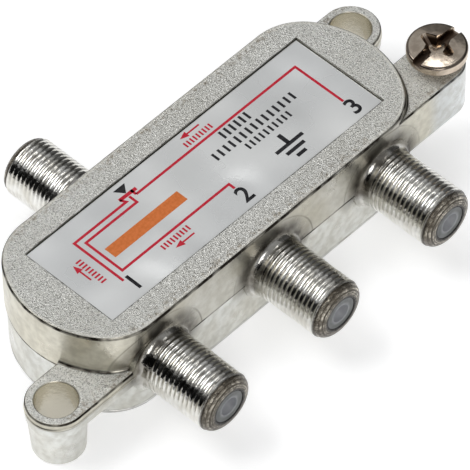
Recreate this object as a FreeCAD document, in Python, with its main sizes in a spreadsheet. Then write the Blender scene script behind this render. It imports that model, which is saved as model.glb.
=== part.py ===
"""Three-way coaxial splitter with screw-on ports: a hollow die-cast housing with a
soldered back cover, and the small circuit that it holds.

Frame, in millimetres: the origin is at the middle of the flat back, +Z points out of the
label, +X runs along the case towards the earth screw, the outputs face -Y.
"""
import FreeCAD, Part
import math
import os

import Sketcher
from FreeCAD import Placement, Rotation, Vector

SIZES = {
    # Case
    "case_length": 68.4, "case_width": 26.0, "case_height": 17.2, "parting_height": 8.6,
    "corner_radius": 9.0, "end_radius": 16.0, "top_bevel": 0.35, "lower_inset": 0.3,
    "wall": 1.8, "roof": 2.0,
    # Back cover
    "cover_thickness": 0.6, "cover_inset": 0.15,
    # Label and its recess
    "label_length": 54.6, "label_width": 17.0, "label_thickness": 0.2,
    "label_gap": 0.15, "recess_depth": 0.5,
    # Mounting ears and their posts
    "ear_top": 9.9, "ear_thickness": 2.8, "ear_radius": 4.5, "ear_reach": 4.5,
    "mount_hole_radius": 3.15, "post_radius": 4.1,
    # Earth lug and screw
    "lug_top": 16.2, "lug_thickness": 8.2, "lug_radius": 4.2,
    "screw_radius": 2.0, "screw_clearance": 0.05, "screw_length": 8.0, "screw_backed_out": 1.8,
    "head_radius": 4.5, "head_rim_radius": 4.2, "head_side": 1.3, "head_rim": 1.5,
    "head_height": 1.95, "slot_width": 1.3, "slot_depth": 1.0,
    "cross_width": 1.2, "cross_length": 5.6, "cross_depth": 1.35,
    # Ports
    "port_pitch": 22.5, "input_port_x": -11.0, "port_reach": 13.0, "port_radius": 4.75,
    "flare_radius": 6.2, "flare_length": 1.1, "rim_length": 1.3, "face_radius": 3.75,
    "port_bore_radius": 3.0,
    # Insulator and contact in each port
    "fit_gap": 0.05, "funnel_radius": 1.5, "pin_hole_radius": 0.65,
    "contact_depth": 2.6, "contact_radius": 1.0, "contact_bore_radius": 0.55,
    "contact_bore_depth": 8.0, "tail_half": 0.4, "tail_overlap": 3.0,
    # Circuit board and the pegs that hold it
    "board_gap": 0.3, "board_thickness": 1.0, "peg_radius": 1.5, "peg_pin_radius": 0.7,
    "peg_inset": 6.0, "peg_pin_length": 1.6,
    # Ring cores, wound over part of their length
    "core_outer_radius": 2.6, "core_inner_radius": 1.3, "core_height": 2.4,
    "core_pitch": 12.0, "wire_layer": 0.35, "wire_gap": 0.05, "wound_angle": 160.0,
    # Chip parts
    "chip_length": 2.0, "chip_width": 1.25, "chip_height": 0.9, "chip_cap": 0.4,
    "chip_cap_step": 0.05, "chip_setback": 0.6, "diode_offset": 4.0,
}

OUTPUTS = (-1, 0, 1)
HALF_LENGTH = "dims.case_length / 2"
HALF_WIDTH = "dims.case_width / 2"
EAR_X = "(dims.case_length / 2 + dims.ear_reach)"
EAR_Y = "(dims.case_width / 2 - dims.ear_radius)"
EAR_FLOOR = "(dims.ear_top - dims.ear_thickness)"
ROOF_FACE = "(dims.case_height - dims.roof)"
CAVITY_INSET = "dims.lower_inset + dims.wall"
CAVITY_SIDE = "(dims.case_width / 2 - dims.lower_inset - dims.wall)"
PORT_FACE = "(dims.case_width / 2 + dims.port_reach)"
CONTACT_FRONT = "(dims.case_width / 2 + dims.port_reach - dims.contact_depth)"
TAIL_END = "(dims.case_width / 2 - dims.lower_inset - dims.wall - dims.tail_overlap)"
BOARD_FACE = "(dims.parting_height + dims.tail_half)"
PEG_X = "(dims.case_length / 2 - dims.peg_inset)"

doc = FreeCAD.newDocument("coaxial_splitter")
sheet = doc.addObject("Spreadsheet::Sheet", "dims")
parts = []


def fill_sheet():
    """One row for each driving size: its name, its value and the value's alias."""
    for row, (alias, size) in enumerate(SIZES.items(), start=1):
        sheet.set(f"A{row}", alias.replace("_", " "))
        sheet.set(f"B{row}", str(size))
        sheet.setAlias(f"B{row}", alias)
    doc.recompute()


def bind(feature, **formulas):
    """Bind properties to the sheet; an underscore pair in a name stands for a dot."""
    for prop, formula in formulas.items():
        feature.setExpression(prop.replace("__", "."), formula)


def new_body(label):
    body = doc.addObject("PartDesign::Body", label)
    body.Label = label
    parts.append(body)
    return body


def new_sketch(body, name, plane="XY_Plane", turn=0, **offsets):
    """Sketch on one of the body's own origin planes, moved by bound offsets."""
    sketch = body.newObject("Sketcher::SketchObject", name)
    support = [item for item in body.Origin.OriginFeatures if item.Role == plane][0]
    sketch.AttachmentSupport = [(support, "")]
    sketch.MapMode = "FlatFace"
    sketch.AttachmentOffset = Placement(Vector(), Rotation(Vector(0, 0, 1), turn))
    bind(sketch, **{"AttachmentOffset__Base__" + axis: offsets[axis] for axis in offsets})
    return sketch


def value_of(formula):
    """What a formula on the sheet comes to now, in millimetres."""
    return float(sheet.evalExpression(formula))


def drive(sketch, kind, points, formula):
    """Add a constraint that starts at its formula's value and stays bound to it."""
    index = sketch.addConstraint(Sketcher.Constraint(kind, *points, value_of(formula)))
    name = f"size_{index}"
    sketch.renameConstraint(index, name)
    sketch.setExpression("Constraints." + name, formula)


def polygon(sketch, corners):
    """Closed outline through corners given as formula pairs; None lies on that axis."""
    count = len(corners)
    ring = [Vector(value_of(across or "0"), value_of(along or "0")) for across, along in corners]
    for step in range(count):
        sketch.addGeometry(Part.LineSegment(ring[step], ring[(step + 1) % count]))
    for step in range(count):
        sketch.addConstraint(Sketcher.Constraint("Coincident", step, 2, (step + 1) % count, 1))
    for step, (across, along) in enumerate(corners):
        for kind, axis, formula in (("DistanceX", -2, across), ("DistanceY", -1, along)):
            if formula is None:
                sketch.addConstraint(Sketcher.Constraint("PointOnObject", step, 1, axis))
            else:
                drive(sketch, kind, (-1, 1, step, 1), formula)


def rectangle(sketch, half_length, half_width):
    polygon(sketch, [("-" + half_length, "-" + half_width), (half_length, "-" + half_width),
                     (half_length, half_width), ("-" + half_length, half_width)])


def oval(sketch, inset):
    """The case outline: two sides, four corner arcs and two wide end arcs, all tangent."""
    half_width = value_of(f"{HALF_WIDTH} - ({inset})")
    corner = value_of(f"dims.corner_radius - ({inset})")
    end = value_of(f"dims.end_radius - ({inset})")
    end_x = value_of(f"{HALF_LENGTH} - dims.end_radius")
    rise = half_width - corner
    corner_x = end_x + math.sqrt((end - corner) ** 2 - rise ** 2)
    lean = math.atan2(rise, corner_x - end_x)

    def arc(centre_x, centre_y, radius, start, stop):
        ring = Part.Circle(Vector(centre_x, centre_y, 0), Vector(0, 0, 1), radius)
        return Part.ArcOfCircle(ring, start, stop)

    quarter = math.pi / 2
    sketch.addGeometry([
        Part.LineSegment(Vector(-corner_x, -half_width, 0), Vector(corner_x, -half_width, 0)),
        arc(corner_x, -rise, corner, -quarter, -lean),
        arc(end_x, 0, end, -lean, lean),
        arc(corner_x, rise, corner, lean, quarter),
        Part.LineSegment(Vector(corner_x, half_width, 0), Vector(-corner_x, half_width, 0)),
        arc(-corner_x, rise, corner, quarter, math.pi - lean),
        arc(-end_x, 0, end, math.pi - lean, math.pi + lean),
        arc(-corner_x, -rise, corner, math.pi + lean, 3 * quarter)])
    for edge in range(8):
        sketch.addConstraint(Sketcher.Constraint("Tangent", edge, 2, (edge + 1) % 8, 1))
    for side, sign in ((0, "-"), (4, "")):
        sketch.addConstraint(Sketcher.Constraint("Horizontal", side))
        drive(sketch, "DistanceY", (-1, 1, side, 1), f"{sign}({HALF_WIDTH} - ({inset}))")
    for edge in (1, 3, 5, 7):
        drive(sketch, "Radius", (edge,), f"dims.corner_radius - ({inset})")
    for edge, sign in ((2, ""), (6, "-")):
        sketch.addConstraint(Sketcher.Constraint("PointOnObject", edge, 3, -1))
        drive(sketch, "Radius", (edge,), f"dims.end_radius - ({inset})")
        drive(sketch, "DistanceX", (-1, 1, edge, 3), f"{sign}({HALF_LENGTH} - dims.end_radius)")


def tongue(sketch, side, radius):
    """A plate that starts inside the case and ends in a half round about its hole."""
    quarter = math.pi / 2
    half_width = value_of("dims." + radius)
    start = value_of(f"{HALF_LENGTH} - dims.end_radius")
    hole_x, hole_y = value_of(EAR_X), value_of(side + EAR_Y)
    low, high = hole_y - half_width, hole_y + half_width
    ring = Part.Circle(Vector(hole_x, hole_y, 0), Vector(0, 0, 1), half_width)
    sketch.addGeometry([Part.LineSegment(Vector(start, low, 0), Vector(hole_x, low, 0)),
                        Part.ArcOfCircle(ring, -quarter, quarter),
                        Part.LineSegment(Vector(hole_x, high, 0), Vector(start, high, 0)),
                        Part.LineSegment(Vector(start, high, 0), Vector(start, low, 0))])
    for edge in (0, 1):
        sketch.addConstraint(Sketcher.Constraint("Tangent", edge, 2, edge + 1, 1))
    for edge in (2, 3):
        sketch.addConstraint(Sketcher.Constraint("Coincident", edge, 2, (edge + 1) % 4, 1))
    sketch.addConstraint([Sketcher.Constraint("Horizontal", 0),
                          Sketcher.Constraint("Horizontal", 2),
                          Sketcher.Constraint("Vertical", 3)])
    drive(sketch, "Radius", (1,), "dims." + radius)
    drive(sketch, "DistanceX", (-1, 1, 1, 3), EAR_X)
    drive(sketch, "DistanceY", (-1, 1, 1, 3), side + EAR_Y)
    drive(sketch, "DistanceX", (-1, 1, 3, 1), f"{HALF_LENGTH} - dims.end_radius")


def pad(body, sketch, length, down=False):
    feature = body.newObject("PartDesign::Pad", sketch.Name + "_pad")
    feature.Profile = sketch
    feature.Reversed = down
    bind(feature, Length=length)
    return feature


def pocket(body, sketch, depth, upward=False):
    feature = body.newObject("PartDesign::Pocket", sketch.Name + "_pocket")
    feature.Profile = sketch
    feature.Reversed = upward
    bind(feature, Length=depth)
    return feature


def turned(body, sketch, kind="PartDesign::Revolution", angle="360"):
    """Revolve a half profile about the sketch's upright axis."""
    feature = body.newObject(kind, sketch.Name + "_turned")
    feature.Profile = sketch
    feature.ReferenceAxis = (sketch, ["V_Axis"])
    bind(feature, Angle=angle)
    return feature


def primitive(body, kind, name, place, **sizes):
    """Additive or subtractive primitive at a bound place (x, y, z formulas)."""
    feature = body.newObject("PartDesign::" + kind, name)
    bind(feature, **sizes)
    bind(feature, **{"Placement__Base__" + axis: place[axis] for axis in place})
    return feature


def case_shell(body):
    """Upper and lower halves of the case with its bevelled top edge."""
    upper = new_sketch(body, "upper_outline", z="dims.parting_height")
    oval(upper, "0")
    block = pad(body, upper, "dims.case_height - dims.parting_height")
    doc.recompute()
    top = [f"Edge{number}" for number, edge in enumerate(block.Shape.Edges, start=1)
           if edge.BoundBox.ZMin > sheet.case_height - 0.01]
    bevel = body.newObject("PartDesign::Chamfer", "top_bevel")
    bevel.Base = (block, top)
    bind(bevel, Size="dims.top_bevel")
    lower = new_sketch(body, "lower_outline", z="dims.parting_height")
    oval(lower, "dims.lower_inset")
    pad(body, lower, "dims.parting_height - dims.cover_thickness", down=True)


def ears_and_lug(body):
    """Two ears on their posts, at opposite corners, and the thick earth lug."""
    for name, turn in (("right_ear", 0), ("left_ear", 180)):
        sign = "-" if turn else ""
        plate = new_sketch(body, name, turn=turn, z="dims.ear_top")
        tongue(plate, "", "ear_radius")
        pad(body, plate, "dims.ear_thickness", down=True)
        primitive(body, "AdditiveCylinder", name + "_post",
                  {"x": sign + EAR_X, "y": sign + EAR_Y},
                  Radius="dims.post_radius", Height=EAR_FLOOR)
    lug = new_sketch(body, "lug", z="dims.lug_top")
    tongue(lug, "-", "lug_radius")
    pad(body, lug, "dims.lug_thickness", down=True)


def port_barrel(body, name, port_x, side):
    """One threaded barrel at its major diameter, with its root flare and rounded rim."""
    root = f"{side}({HALF_WIDTH} - dims.lower_inset)"
    flare_end = f"{side}({HALF_WIDTH} + dims.flare_length)"
    profile = new_sketch(body, name, x=port_x, z="dims.parting_height")
    polygon(profile, [(None, root), ("dims.flare_radius", root),
                      ("dims.port_radius", flare_end),
                      ("dims.port_radius", f"{side}({PORT_FACE} - dims.rim_length)"),
                      ("dims.face_radius", side + PORT_FACE), (None, side + PORT_FACE)])
    turned(body, profile)


def port_bore(body, name, port_x, side):
    """The straight bore that the insulator is pushed into."""
    inner = f"{side}({CAVITY_SIDE} - dims.wall)"
    outer = f"{side}({PORT_FACE} + dims.wall)"
    profile = new_sketch(body, name, x=port_x, z="dims.parting_height")
    polygon(profile, [(None, inner), ("dims.port_bore_radius", inner),
                      ("dims.port_bore_radius", outer), (None, outer)])
    turned(body, profile, "PartDesign::Groove")


def ports():
    """Name, place along the case and facing side of the input and the three outputs."""
    outputs = [(f"out_{place + 2}", f"{place} * dims.port_pitch", "-") for place in OUTPUTS]
    return [("in", "dims.input_port_x", "")] + outputs


def housing():
    """The die casting: case, ports, ears and lug in one piece, open at the back."""
    body = new_body("housing")
    case_shell(body)
    ears_and_lug(body)
    for name, port_x, side in ports():
        port_barrel(body, "barrel_" + name, port_x, side)
    recess = new_sketch(body, "label_recess", z="dims.case_height")
    rectangle(recess, "(dims.label_length / 2 + dims.label_gap)",
              "(dims.label_width / 2 + dims.label_gap)")
    pocket(body, recess, "dims.recess_depth")
    cavity = new_sketch(body, "cavity", z="dims.cover_thickness")
    oval(cavity, CAVITY_INSET)
    pocket(body, cavity, f"{ROOF_FACE} - dims.cover_thickness", upward=True)
    for name, port_x, side in ports():
        port_bore(body, "bore_" + name, port_x, side)
    for name, sign in (("right_hole", ""), ("left_hole", "-")):
        primitive(body, "SubtractiveCylinder", name, {"x": sign + EAR_X, "y": sign + EAR_Y},
                  Radius="dims.mount_hole_radius", Height="dims.ear_top")
    primitive(body, "SubtractiveCylinder", "earth_hole",
              {"x": EAR_X, "y": "-" + EAR_Y, "z": "dims.lug_top - dims.lug_thickness"},
              Radius="dims.screw_radius + dims.screw_clearance", Height="dims.lug_thickness")
    for name, sign in (("right_peg", ""), ("left_peg", "-")):
        board_back = f"({BOARD_FACE} + dims.board_thickness)"
        primitive(body, "AdditiveCylinder", name, {"x": sign + PEG_X, "z": board_back},
                  Radius="dims.peg_radius", Height=f"{ROOF_FACE} - {board_back}")
        primitive(body, "AdditiveCylinder", name + "_pin",
                  {"x": sign + PEG_X, "z": f"{board_back} - dims.peg_pin_length"},
                  Radius="dims.peg_pin_radius", Height="dims.peg_pin_length")


def back_cover():
    """The pressed plate that closes the open back."""
    body = new_body("back_cover")
    outline = new_sketch(body, "cover_outline")
    oval(outline, "dims.lower_inset + dims.cover_inset")
    pad(body, outline, "dims.cover_thickness")


def label():
    """The foil plate that lies in the recess on top."""
    body = new_body("label")
    outline = new_sketch(body, "label_outline", z="dims.case_height - dims.recess_depth")
    rectangle(outline, "dims.label_length / 2", "dims.label_width / 2")
    pad(body, outline, "dims.label_thickness")


def ground_screw():
    """Cheese-head screw, left backed out of the lug, with a slot and a cross recess."""
    body = new_body("ground_screw")
    bind(body, Placement__Base__x=EAR_X, Placement__Base__y="-" + EAR_Y,
         Placement__Base__z="dims.lug_top + dims.screw_backed_out")
    profile = new_sketch(body, "screw_profile", "XZ_Plane")
    polygon(profile, [(None, "-dims.screw_length"), ("dims.screw_radius", "-dims.screw_length"),
                      ("dims.screw_radius", None), ("dims.head_radius", None),
                      ("dims.head_radius", "dims.head_side"),
                      ("dims.head_rim_radius", "dims.head_rim"),
                      (None, "dims.head_height")])
    turned(body, profile)
    slot = new_sketch(body, "slot", z="dims.head_height")
    rectangle(slot, "dims.head_radius", "dims.slot_width / 2")
    pocket(body, slot, "dims.slot_depth")
    cross = new_sketch(body, "cross", z="dims.head_height")
    rectangle(cross, "dims.cross_width / 2", "dims.cross_length / 2")
    pocket(body, cross, "dims.cross_depth")


def insulator(name, port_x, turn):
    """Plastic bush; its funnel leads the cable's core into the contact."""
    body = new_body("insulator_" + name)
    body.Placement.Rotation = Rotation(Vector(0, 0, 1), turn)
    bind(body, Placement__Base__x=port_x, Placement__Base__z="dims.parting_height")
    profile = new_sketch(body, "insulator_profile_" + name)
    contact_room = "dims.contact_radius + dims.fit_gap"
    outside = "dims.port_bore_radius - dims.fit_gap"
    polygon(profile, [(contact_room, "-" + CAVITY_SIDE), (outside, "-" + CAVITY_SIDE),
                      (outside, "-" + PORT_FACE),
                      ("dims.funnel_radius", "-" + PORT_FACE),
                      ("dims.pin_hole_radius", "-" + CONTACT_FRONT),
                      (contact_room, "-" + CONTACT_FRONT)])
    turned(body, profile)


def contact(name, port_x, turn):
    """Spring tube that grips the cable's core, with a tail soldered to the board."""
    body = new_body("contact_" + name)
    body.Placement.Rotation = Rotation(Vector(0, 0, 1), turn)
    bind(body, Placement__Base__x=port_x, Placement__Base__z="dims.parting_height")
    profile = new_sketch(body, "contact_profile_" + name)
    bore_end = f"({CONTACT_FRONT} - dims.contact_bore_depth)"
    polygon(profile, [(None, "-" + CAVITY_SIDE), ("dims.contact_radius", "-" + CAVITY_SIDE),
                      ("dims.contact_radius", "-" + CONTACT_FRONT),
                      ("dims.contact_bore_radius", "-" + CONTACT_FRONT),
                      ("dims.contact_bore_radius", "-" + bore_end), (None, "-" + bore_end)])
    turned(body, profile)
    primitive(body, "AdditiveBox", "tail_" + name,
              {"x": "-dims.tail_half", "y": "-" + CAVITY_SIDE, "z": "-dims.tail_half"},
              Length="2 * dims.tail_half", Width="dims.tail_overlap",
              Height="2 * dims.tail_half")


def circuit_board():
    """Board that hangs on the two cast pegs, its parts facing the open back."""
    body = new_body("circuit_board")
    outline = new_sketch(body, "board_outline", z=BOARD_FACE)
    oval(outline, CAVITY_INSET + " + dims.board_gap")
    pad(body, outline, "dims.board_thickness")
    for name, sign in (("right_peg_hole", ""), ("left_peg_hole", "-")):
        primitive(body, "SubtractiveCylinder", name, {"x": sign + PEG_X, "z": BOARD_FACE},
                  Radius="dims.peg_pin_radius + dims.fit_gap", Height="dims.board_thickness")


def ring_core(name, core_x):
    """Ferrite ring lying on the board."""
    body = new_body(name + "_core")
    bind(body, Placement__Base__x=core_x,
         Placement__Base__z=f"{BOARD_FACE} - dims.wire_gap - dims.wire_layer")
    profile = new_sketch(body, name + "_core_profile", "XZ_Plane")
    polygon(profile, [("dims.core_inner_radius", None), ("dims.core_outer_radius", None),
                      ("dims.core_outer_radius", "-dims.core_height"),
                      ("dims.core_inner_radius", "-dims.core_height")])
    turned(body, profile)


def winding(name, core_x):
    """Enamelled wire wound round part of the ring, as one close layer."""
    body = new_body(name + "_winding")
    bind(body, Placement__Base__x=core_x,
         Placement__Base__z=f"{BOARD_FACE} - dims.wire_gap - dims.wire_layer")
    profile = new_sketch(body, name + "_winding_profile", "XZ_Plane")
    skin = "dims.wire_gap"
    layer = "(dims.wire_gap + dims.wire_layer)"
    polygon(profile, [(f"dims.core_inner_radius - {layer}", layer),
                      (f"dims.core_outer_radius + {layer}", layer),
                      (f"dims.core_outer_radius + {layer}", f"-dims.core_height - {layer}"),
                      (f"dims.core_inner_radius - {layer}", f"-dims.core_height - {layer}")])
    turned(body, profile, angle="dims.wound_angle")
    room = new_sketch(body, name + "_core_room", "XZ_Plane")
    polygon(room, [(f"dims.core_inner_radius - {skin}", skin),
                   (f"dims.core_outer_radius + {skin}", skin),
                   (f"dims.core_outer_radius + {skin}", f"-dims.core_height - {skin}"),
                   (f"dims.core_inner_radius - {skin}", f"-dims.core_height - {skin}")])
    turned(body, room, "PartDesign::Groove")


def chip(name, chip_x, chip_y="0 mm", turn=0):
    """Square chip part with its two soldered ends, on the board's face."""
    body = new_body(name)
    body.Placement.Rotation = Rotation(Vector(0, 0, 1), turn)
    bind(body, Placement__Base__x=chip_x, Placement__Base__y=chip_y,
         Placement__Base__z=BOARD_FACE)
    middle = new_sketch(body, name + "_middle")
    rectangle(middle, "dims.chip_length / 2", "(dims.chip_width / 2 - dims.chip_cap_step)")
    pad(body, middle, "dims.chip_height - dims.chip_cap_step", down=True)
    for end, sign in (("near", "-"), ("far", "")):
        cap = new_sketch(body, f"{name}_{end}_cap",
                         x=f"{sign}(dims.chip_length - dims.chip_cap) / 2")
        rectangle(cap, "dims.chip_cap / 2", "dims.chip_width / 2")
        pad(body, cap, "dims.chip_height", down=True)


def circuit():
    """The board and everything soldered to it."""
    circuit_board()
    chip_y = f"({TAIL_END} - dims.chip_length / 2 - dims.chip_setback)"
    for name, port_x, side in ports():
        chip("blocking_capacitor_" + name, port_x, side + chip_y, turn=90)
        if name != "in":
            inward = "-" if name == "out_3" else "+"
            chip("pass_diode_" + name[-1], f"{port_x} {inward} dims.diode_offset",
                 side + chip_y)
    for place, name in enumerate(("match", "split_1", "split_2")):
        core_x = f"dims.input_port_x + {place} * dims.core_pitch"
        ring_core(name, core_x)
        winding(name, core_x)
        if place:
            chip(f"balance_resistor_{place}", f"{core_x} - dims.core_pitch / 2", turn=90)


def check_model():
    """Stop before anything is written if a feature failed or a solid is missing."""
    doc.recompute()
    for item in doc.Objects:
        if "Invalid" in item.State or "Error" in item.State:
            raise RuntimeError(f"{item.Label} failed: {item.State}")
    for part in parts:
        shape = part.Shape
        if shape.isNull() or not shape.isValid() or not shape.Solids:
            raise RuntimeError(f"{part.Label} has no valid solid")
        print(part.Label, len(shape.Solids), round(shape.Volume, 3))


def write_parts():
    os.makedirs("parts", exist_ok=True)
    for part in parts:
        part.Shape.exportStep(f"parts/{part.Label}.step")


fill_sheet()
housing()
back_cover()
label()
ground_screw()
for port_name, port_place, port_side in ports():
    facing = 0 if port_side else 180
    insulator(port_name, port_place, facing)
    contact(port_name, port_place, facing)
circuit()
check_model()
write_parts()
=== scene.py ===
"""Dressed model of the three-way coaxial splitter, in metres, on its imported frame."""
import math

import bmesh
import bpy
from mathutils import Matrix, Vector


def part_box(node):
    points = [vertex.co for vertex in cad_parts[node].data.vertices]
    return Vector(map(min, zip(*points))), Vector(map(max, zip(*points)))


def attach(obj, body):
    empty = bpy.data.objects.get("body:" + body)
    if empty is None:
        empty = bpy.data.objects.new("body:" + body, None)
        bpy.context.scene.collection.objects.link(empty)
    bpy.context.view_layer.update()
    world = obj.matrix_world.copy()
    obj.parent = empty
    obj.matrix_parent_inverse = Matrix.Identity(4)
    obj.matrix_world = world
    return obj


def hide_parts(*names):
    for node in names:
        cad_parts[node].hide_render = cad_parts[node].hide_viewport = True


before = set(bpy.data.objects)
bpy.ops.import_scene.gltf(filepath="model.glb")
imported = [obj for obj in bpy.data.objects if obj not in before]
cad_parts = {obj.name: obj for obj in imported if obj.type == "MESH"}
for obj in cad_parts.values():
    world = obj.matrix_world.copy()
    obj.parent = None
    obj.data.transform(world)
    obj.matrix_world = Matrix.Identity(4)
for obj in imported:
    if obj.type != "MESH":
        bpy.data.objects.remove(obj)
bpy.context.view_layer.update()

MM = 0.001
TURN = 2 * math.pi

# The view: a long lens held above the output side and swung towards the left ear, as the
# part lies in the picture. The picture is 470 pixels square.
picture_side = 470
focal_pixels = 5702.2
sensor_width = 36.0
swing, tilt, roll = (math.radians(angle) for angle in (-44.94, 50.83, -1.45))
distance = 809.7 * MM
aim = Vector((0, 0, 8.0)) * MM
aim_right, aim_up = 3.92 * MM, -2.46 * MM


def put(name, data):
    """A new object in the scene from its mesh, lens, lamp or text."""
    thing = bpy.data.objects.new(name, data)
    bpy.context.scene.collection.objects.link(thing)
    return thing


back = Vector((math.sin(swing) * math.cos(tilt), -math.cos(swing) * math.cos(tilt), math.sin(tilt)))
level_right = Vector((math.cos(swing), math.sin(swing), 0))
level_up = back.cross(level_right)
right = math.cos(roll) * level_right + math.sin(roll) * level_up
up = math.cos(roll) * level_up - math.sin(roll) * level_right
lens = bpy.data.cameras.new("camera")
lens.sensor_width = sensor_width
lens.lens = focal_pixels / picture_side * sensor_width
camera = put("camera", lens)
camera_place = aim + back * distance + right * aim_right + up * aim_up
camera_turn = Matrix((right, up, back)).transposed().to_4x4()
camera.matrix_world = Matrix.Translation(camera_place) @ camera_turn
bpy.context.scene.camera = camera
bpy.context.scene.view_settings.view_transform = "Standard"

# The table: a white sheet that stays white to the camera and in the metal, and still takes
# the part's shadow. Its own colour does that, not more light.
table_half, table_level = 1.5, -0.02 * MM
paper_tone, table_glow = 0.8, 0.45


def feed(value, socket):
    """Link a value that is a socket, or set a number, a word or a colour."""
    if isinstance(value, bpy.types.NodeSocket):
        socket.id_data.links.new(value, socket)
    else:
        socket.default_value = (*value, 1) if isinstance(value, tuple) else value


def add(nodes, kind, **settings):
    """A node with its properties set; a key that names an input feeds that input."""
    node = nodes.new(kind)
    for key, value in settings.items():
        if hasattr(node, key):
            setattr(node, key, value)
        else:
            feed(value, node.inputs[key.replace("_", " ")])
    return node


def nodes_of(*values):
    """The nodes of the tree that the sockets among the values belong to."""
    return next(value.id_data.nodes for value in values if isinstance(value, bpy.types.NodeSocket))


def maths(operation, *values, clamp=False):
    """One step of arithmetic on numbers and sockets."""
    step = add(nodes_of(*values), "ShaderNodeMath", operation=operation, use_clamp=clamp)
    for value, socket in zip(values, step.inputs):
        feed(value, socket)
    return step.outputs[0]


def new_material(name):
    """An empty material, as (material, its nodes)."""
    material = bpy.data.materials.new(name)
    material.use_nodes = True
    material.node_tree.nodes.clear()
    return material, material.node_tree.nodes


def put_out(nodes, shader):
    """Let a shader be what the material shows."""
    add(nodes, "ShaderNodeOutputMaterial", Surface=shader.outputs[0])


def flat_sheet(name, corners, material):
    """A sheet through four corners."""
    mesh = bpy.data.meshes.new(name)
    mesh.from_pydata(corners, [], [(0, 1, 2, 3)])
    mesh.materials.append(material)
    return put(name, mesh)


white_paper, nodes = new_material("white_table")
paper = add(nodes, "ShaderNodeBsdfDiffuse", Color=(paper_tone, paper_tone, paper_tone))
rays = nodes.new("ShaderNodeLightPath").outputs
seen = maths("ADD", rays["Is Camera Ray"], rays["Is Glossy Ray"], clamp=True)
seen = maths("ADD", seen, rays["Is Transmission Ray"], clamp=True)
glow = add(nodes, "ShaderNodeEmission", Color=(1, 1, 1), Strength=maths("MULTIPLY", seen, table_glow))
both = nodes.new("ShaderNodeAddShader")
feed(paper.outputs[0], both.inputs[0])
feed(glow.outputs[0], both.inputs[1])
put_out(nodes, both)
table = flat_sheet("table", [(x * table_half, y * table_half, table_level)
                             for x, y in ((-1, -1), (1, -1), (1, 1), (-1, 1))], white_paper)

# The light: a pale room, a narrow soft box over the earth screw, a wide one above the input
# side and a fill from the camera's side. A black card low on the left and a dark grey one on
# the right give the metal its dark bands.
room_colour, room_strength = (0.97, 0.98, 1.0), 0.45
card_near, card_far, card_low, card_high = -0.28, 0.95, 0.005, 0.24
cards = {"left_card": (-0.26, 0.01), "right_card": (0.26, 0.14)}
lamps = {
    "soft_box": ((0.28, 0.20, 0.86), (0.34, 0.08), 0.38),
    "strip_box": ((-0.24, 0.42, 0.80), (0.60, 0.40), 3.6),
    "fill_box": ((-0.45, -0.60, 0.55), (0.50, 0.40), 2.8),
}
room = bpy.data.worlds.new("room")
room.use_nodes = True
air = room.node_tree.nodes["Background"].inputs
feed(room_colour, air["Color"])
feed(room_strength, air["Strength"])
bpy.context.scene.world = room

for name, (card_x, shade) in cards.items():
    felt, nodes = new_material(name)
    put_out(nodes, add(nodes, "ShaderNodeBsdfDiffuse", Color=(shade, shade, shade)))
    card = flat_sheet(name, [(card_x, card_near, card_low), (card_x, card_far, card_low),
                             (card_x, card_far, card_high), (card_x, card_near, card_high)], felt)
    card.visible_camera = False

for name, (place, size, power) in lamps.items():
    bulb = bpy.data.lights.new(name, "AREA")
    bulb.shape = "RECTANGLE"
    bulb.size, bulb.size_y = size
    bulb.energy = power
    towards_part = Vector(place).to_track_quat("Z", "Y").to_matrix().to_4x4()
    put(name, bulb).matrix_world = Matrix.Translation(place) @ towards_part

# The case: a zinc casting in one piece with its ears, its earth lug and its ports, made in
# a die whose halves meet at the parting line. Its walls are drawn here as rings of one
# outline, from the cavity's roof, round the open back and up to the sunk bed of the label.
case_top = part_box("housing")[1].z
cover_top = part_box("back_cover")[1].z
label_low, label_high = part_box("label")
half_width, half_length = 13.0 * MM, 34.2 * MM
parting, seam = 8.6 * MM, 0.14 * MM
corner_radius, end_radius = 9.0 * MM, 16.0 * MM
side_steps, corner_steps, end_steps = 24, 14, 24
corner_y = half_width - corner_radius
end_x = half_length - end_radius
corner_x = end_x + math.sqrt((end_radius - corner_radius) ** 2 - corner_y ** 2)
lean = math.atan2(corner_y, corner_x - end_x)
lower_inset, wall, roof = 0.3 * MM, 1.8 * MM, 2.0 * MM
# The case's top edge: a painted highlight inside the round and painted shade on it.
case_rounding, edge_highlight_tone = 0.4 * MM, -0.8
bed_gap, bed_lip_drop = 0.08 * MM, 0.04 * MM
# Painted shade on the top round the label's bed, darkest at the bed's edge.
bed_shade = ((0.07 * MM, 0.8), (0.15 * MM, 0))


def arc(centre_x, centre_y, radius, start, stop, steps):
    """Points along an arc, without its last one."""
    return [(centre_x + radius * math.cos(start + (stop - start) * step / steps),
             centre_y + radius * math.sin(start + (stop - start) * step / steps))
            for step in range(steps)]


def case_outline(inset=0.0):
    """The case's outline seen from above, drawn in by inset, counter-clockwise."""
    side = half_width - inset
    corner, end = corner_radius - inset, end_radius - inset
    flat = [(-corner_x + 2 * corner_x * step / side_steps, -side) for step in range(side_steps)]
    half = (flat + arc(corner_x, -corner_y, corner, -TURN / 4, -lean, corner_steps)
            + arc(end_x, 0, end, -lean, lean, end_steps)
            + arc(corner_x, corner_y, corner, lean, TURN / 4, corner_steps))
    return half + [(-x, -y) for x, y in half]


casting = bmesh.new()
# A tone for each point: painted highlights and painted shade on the casting's edges.
painted_edge_shading = casting.verts.layers.float.new("painted_edge_shading")


def ring_of(outline, height, tone=0.0):
    """One ring of the casting; tone runs from -1, a painted highlight, to 1, painted shade."""
    ring = [casting.verts.new((x, y, height)) for x, y in outline]
    for vert in ring:
        vert[painted_edge_shading] = tone
    return ring


def wall_between(shell, lower, upper):
    """Quads from one ring of points to the next."""
    for step in range(len(lower)):
        following = (step + 1) % len(lower)
        shell.faces.new((lower[step], lower[following], upper[following], upper[step]))


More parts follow.
